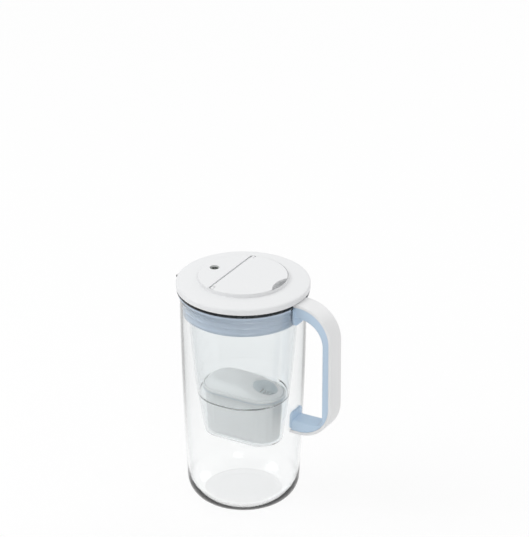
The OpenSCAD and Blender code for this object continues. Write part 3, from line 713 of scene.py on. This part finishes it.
# Cartridge: a tapered cup and a crowned cap with a finger scoop
def build_cartridge_cup():
    half_l = housing_high.x
    half_w = housing_high.y
    foot_z = housing_low.z
    round_r = CUP_ROUND_R

    def taper(z, inset):
        t = max(0, (SEAT_Z - z) / (SEAT_Z - foot_z))
        return (half_l - CART_DRAFT * t - inset, half_w - CART_DRAFT * t - inset, z)

    edge = CART_DRAFT + CART_T + CUP_OUTLET_EDGE
    opening = (half_l - edge, half_w - edge)
    path = [(*opening, foot_z)]
    for k in range(7):
        phi = math.radians(15 * k)
        path.append(taper(foot_z + round_r * (1 - math.cos(phi)), round_r * (1 - math.sin(phi))))
    path += [taper(lerp(foot_z + round_r, CAP_Z, i / 10), 0) for i in range(1, 11)]
    path += [taper(lerp(CAP_Z, foot_z + CART_T, i / 6), CART_T) for i in range(7)]
    path.append((*opening, foot_z + CART_T))
    rings = [fluted(oval_ring(a, b, z), foot_z) for a, b, z in path]
    closed_shell("cartridge_cup", rings, cartridge_white, "cartridge", ("cartridge_housing",),
                 "cartridge_plastic", 40)


def fluted(ring, foot_z):
    """Shallow upright flutes on the rounded ends of the cup."""
    out = []
    for x, y, z in ring:
        over = abs(x) - FLUTE_START_X
        deep = 0
        if over > 0 and foot_z + FLUTE_END_GAP < z < SEAT_Z - FLUTE_END_GAP:
            run_in = 0.5 - 0.5 * math.cos(min(1, over / FLUTE_RUN_IN) * math.pi)
            wave = 0.5 + 0.5 * math.cos(math.atan2(y, over) * FLUTES_PER_TURN)
            deep = FLUTE_DEPTH * run_in * wave
        size = math.hypot(over, y) if over > 0 else 1
        scale = deep / size if size > 1e-6 else 0
        out.append((x - math.copysign(max(0, over), x) * scale, y - y * scale, z))
    return out


def build_cartridge_cap():
    half_l = cap_high.x
    half_w = cap_high.y
    rim_top = CAP_Z + CAP_RIM_T
    crown_h = cap_high.z - rim_top
    bead = CAP_BEAD
    rings = [oval_ring(half_l * k, half_w * k, CAP_Z) for k in (0.25, 0.5, 0.75)]
    rings.append(oval_ring(half_l - bead, half_w - bead, CAP_Z))
    edge = arc(-bead, CAP_Z + bead, bead, -60, 0, 4) + arc(-bead, rim_top - bead, bead, 0, 90, 4)
    for x, z in edge + [(-inset, rim_top - depth) for inset, depth in CAP_GROOVE]:
        rings.append(oval_ring(half_l + x, half_w + x, z))
    dome_n = 46
    low = (half_l - CROWN_INSET, half_w - CROWN_INSET)
    high = (CROWN_L / 2, CROWN_W / 2)
    for i in range(dome_n + 1):
        t = i / dome_n
        rise = crown_h * (1 - (1 - t) ** CROWN_RISE_POWER)
        a = lerp(low[0], high[0], t)
        b = lerp(low[1], high[1], t ** CROWN_WIDTH_POWER)
        shift = -CROWN_X * t
        rings.append([(x + shift, y, rim_top + rise) for x, y, z in oval_ring(a, b, 0)])
    for k in (0.75, 0.5, 0.25, 0.05):
        rings.append([(x - CROWN_X, y, cap_high.z - 0.02 * MM * (1 - k))
                      for x, y, z in oval_ring(high[0] * k, high[1] * k, 0)])
    scoop_z = rim_top + SCOOP_R - SCOOP_DEPTH
    for ring in rings[len(rings) - dome_n - 5:]:
        for j, (x, y, z) in enumerate(ring):
            flat = (x - SCOOP_X) ** 2 + y * y
            if flat < SCOOP_R ** 2:
                bowl = scoop_z - math.sqrt(SCOOP_R ** 2 - flat)
                ring[j] = (x, y, min(z, bowl))
    cap = capped_solid("cartridge_crowned_cap", rings, cartridge_white, "cartridge",
                       ("cartridge_cap",), "cartridge_plastic", 32)
    # Painted shade: the faces of the scoop's floor take the grey that stands in for the recess's
    # shade
    cap.data.materials.append(scoop_painted_shade)
    for face in cap.data.polygons:
        x, y, z = face.center
        if (x - SCOOP_X) ** 2 + y * y < SCOOP_R ** 2 and face.normal.z > 0:
            rise = scoop_z - math.sqrt(SCOOP_R ** 2 - (x - SCOOP_X) ** 2 - y * y)
            if abs(z - rise) < 0.1 * MM:
                face.material_index = 1
    cut_slots(cap)


def cut_slots(cap):
    """Water slots through the floor of the scoop."""
    bm = bmesh.new()
    for i in range(SLOT_COUNT):
        place = Vector((SCOOP_X + (i - (SLOT_COUNT - 1) / 2) * SLOT_PITCH, 0, CAP_Z))
        for v in bmesh.ops.create_cube(bm, size=2)["verts"]:
            v.co = Vector(c * half for c, half in zip(v.co, SLOT_HALF)) + place
    mesh = bpy.data.meshes.new("slot_cutter")
    bm.to_mesh(mesh)
    bm.free()
    cutter = bpy.data.objects.new("slot_cutter", mesh)
    bpy.context.scene.collection.objects.link(cutter)
    cutter.matrix_world = cap.matrix_world.copy()
    modifier = cap.modifiers.new("slots", "BOOLEAN")
    modifier.operation = "DIFFERENCE"
    modifier.solver = "EXACT"
    modifier.object = cutter
    graph = bpy.context.evaluated_depsgraph_get()
    cut_mesh = bpy.data.meshes.new_from_object(cap.evaluated_get(graph))
    cap.modifiers.clear()
    cap.data = cut_mesh
    bpy.data.objects.remove(cutter)
    shade(cap, 32)


build_jug()
build_handle()
build_sealing_ring()
build_funnel()
build_fill_mark()
build_cartridge_cup()
build_cartridge_cap()


# Camera, floor and light
def camera_axes():
    a = math.radians(VIEW_AZIMUTH)
    e = math.radians(VIEW_ELEVATION)
    back = Vector((math.sin(a) * math.cos(e), -math.cos(a) * math.cos(e), math.sin(e)))
    right = Vector((math.cos(a), math.sin(a), 0))
    return right, back.cross(right), back


def add_camera():
    right, up, back = camera_axes()
    distance = FOCAL_PX / RIM_PX_PER_MM * MM
    pixel = distance / FOCAL_PX
    off_x = (RIM_CENTRE_PX[0] - PHOTO_W / 2) * pixel
    off_y = (RIM_CENTRE_PX[1] - PHOTO_H / 2) * pixel
    data = bpy.data.cameras.new("camera")
    data.sensor_width = SENSOR_MM
    data.lens = FOCAL_PX * SENSOR_MM / PHOTO_H
    data.clip_start = 0.05
    data.clip_end = 60
    cam = bpy.data.objects.new("camera", data)
    bpy.context.scene.collection.objects.link(cam)
    cam.location = Vector((0, 0, RIM_Z)) + back * distance - right * off_x + up * off_y
    cam.rotation_mode = "QUATERNION"
    cam.rotation_quaternion = (-back).to_track_quat("-Z", "Y")
    bpy.context.scene.camera = cam


def maths(tree, operation, a, b):
    node = tree.nodes.new("ShaderNodeMath")
    node.operation = operation
    for socket, value in zip(node.inputs, (a, b)):
        if isinstance(value, (int, float)):
            socket.default_value = value
        else:
            tree.links.new(value, socket)
    return node.outputs["Value"]


def backdrop_rays(tree, darkness):
    """Two values: 1 for rays that show the backdrop, and how bright it is for them.

    Light that is caught inside a clear wall and mirrored along it comes from beside the set, which
    is dark, and draws the dark edge lines of clear things."""
    path = tree.nodes.new("ShaderNodeLightPath")
    straight = maths(tree, "MAXIMUM", path.outputs["Is Camera Ray"], path.outputs["Is Glossy Ray"])
    through = path.outputs["Is Transmission Ray"]
    shown = maths(tree, "MAXIMUM", straight, through)
    mirrored = maths(tree, "GREATER_THAN", path.outputs["Glossy Depth"], 0.5)
    one_wall = maths(tree, "LESS_THAN", path.outputs["Transmission Depth"], ONE_WALL)
    caught = maths(tree, "MULTIPLY", maths(tree, "MULTIPLY", through, mirrored), one_wall)
    return shown, maths(tree, "SUBTRACT", 1, maths(tree, "MULTIPLY", caught, darkness))


def add_floor():
    material = bpy.data.materials.new("floor_white")
    material.use_nodes = True
    tree = material.node_tree
    tree.nodes.clear()
    out = tree.nodes.new("ShaderNodeOutputMaterial")
    diffuse = tree.nodes.new("ShaderNodeBsdfDiffuse")
    diffuse.inputs["Color"].default_value = (0.9, 0.9, 0.9, 1)
    glow = tree.nodes.new("ShaderNodeEmission")
    glow.inputs["Color"].default_value = (1, 1, 1, 1)
    mix = tree.nodes.new("ShaderNodeMixShader")
    shown, bright = backdrop_rays(tree, EDGE_ON_FLOOR)
    coords = tree.nodes.new("ShaderNodeTexCoord")
    away = tree.nodes.new("ShaderNodeVectorMath")
    away.operation = "LENGTH"
    tree.links.new(coords.outputs["Object"], away.inputs[0])
    beside = tree.nodes.new("ShaderNodeMapRange")
    beside.inputs["From Min"].default_value = EDGE_NEAR
    beside.inputs["From Max"].default_value = EDGE_FAR
    tree.links.new(away.outputs["Value"], beside.inputs["Value"])
    dark = maths(tree, "MULTIPLY", maths(tree, "SUBTRACT", 1, bright), beside.outputs["Result"])
    bright = maths(tree, "SUBTRACT", 1, dark)
    tree.links.new(bright, glow.inputs["Strength"])
    glowing = maths(tree, "MULTIPLY", shown, FLOOR_GLOW)
    tree.links.new(maths(tree, "MAXIMUM", glowing, dark), mix.inputs["Fac"])
    tree.links.new(diffuse.outputs["BSDF"], mix.inputs[1])
    tree.links.new(glow.outputs["Emission"], mix.inputs[2])
    tree.links.new(mix.outputs["Shader"], out.inputs["Surface"])
    half = FLOOR_HALF
    mesh = bpy.data.meshes.new("floor")
    corners = [(-half, -half, 0), (half, -half, 0), (half, half, 0), (-half, half, 0)]
    mesh.from_pydata(corners, [], [(0, 1, 2, 3)])
    floor = bpy.data.objects.new("floor", mesh)
    floor.location.z = -FLOOR_DROP
    bpy.context.scene.collection.objects.link(floor)
    mesh.materials.append(material)


def add_world():
    """Soft light, strongest from above, and a white backdrop."""
    world = bpy.data.worlds.new("studio")
    bpy.context.scene.world = world
    world.use_nodes = True
    tree = world.node_tree
    coords = tree.nodes.new("ShaderNodeTexCoord")
    split = tree.nodes.new("ShaderNodeSeparateXYZ")
    tree.links.new(coords.outputs["Generated"], split.inputs["Vector"])
    light = tree.nodes["Background"]
    light.inputs["Color"].default_value = (1, 1, 1, 1)
    tree.links.new(ranged(tree, split.outputs["Z"], SKY_LOW, SKY_HIGH), light.inputs["Strength"])
    backdrop = tree.nodes.new("ShaderNodeBackground")
    backdrop.inputs["Color"].default_value = (1, 1, 1, 1)
    mix = tree.nodes.new("ShaderNodeMixShader")
    shown, bright = backdrop_rays(tree, EDGE_ON_WORLD)
    tree.links.new(bright, backdrop.inputs["Strength"])
    tree.links.new(shown, mix.inputs["Fac"])
    tree.links.new(light.outputs["Background"], mix.inputs[1])
    tree.links.new(backdrop.outputs["Background"], mix.inputs[2])
    tree.links.new(mix.outputs["Shader"], tree.nodes["World Output"].inputs["Surface"])


def add_area(name, place, size, watts):
    data = bpy.data.lights.new(name, "AREA")
    data.shape = "DISK"
    data.size = size
    data.energy = watts
    lamp = bpy.data.objects.new(name, data)
    bpy.context.scene.collection.objects.link(lamp)
    lamp.location = place
    aim = Vector(LAMPS_AIM) - Vector(place)
    lamp.rotation_mode = "QUATERNION"
    lamp.rotation_quaternion = aim.to_track_quat("-Z", "Y")


add_camera()
add_floor()
add_world()
for lamp_args in LAMPS:
    add_area(*lamp_args)

bpy.context.scene.view_settings.view_transform = "Standard"
# Light that a clear wall's curve leads round in many small mirrorings still gets out
bpy.context.scene.cycles.max_bounces = 16
bpy.context.scene.cycles.glossy_bounces = 12
bpy.context.scene.cycles.transmission_bounces = 16
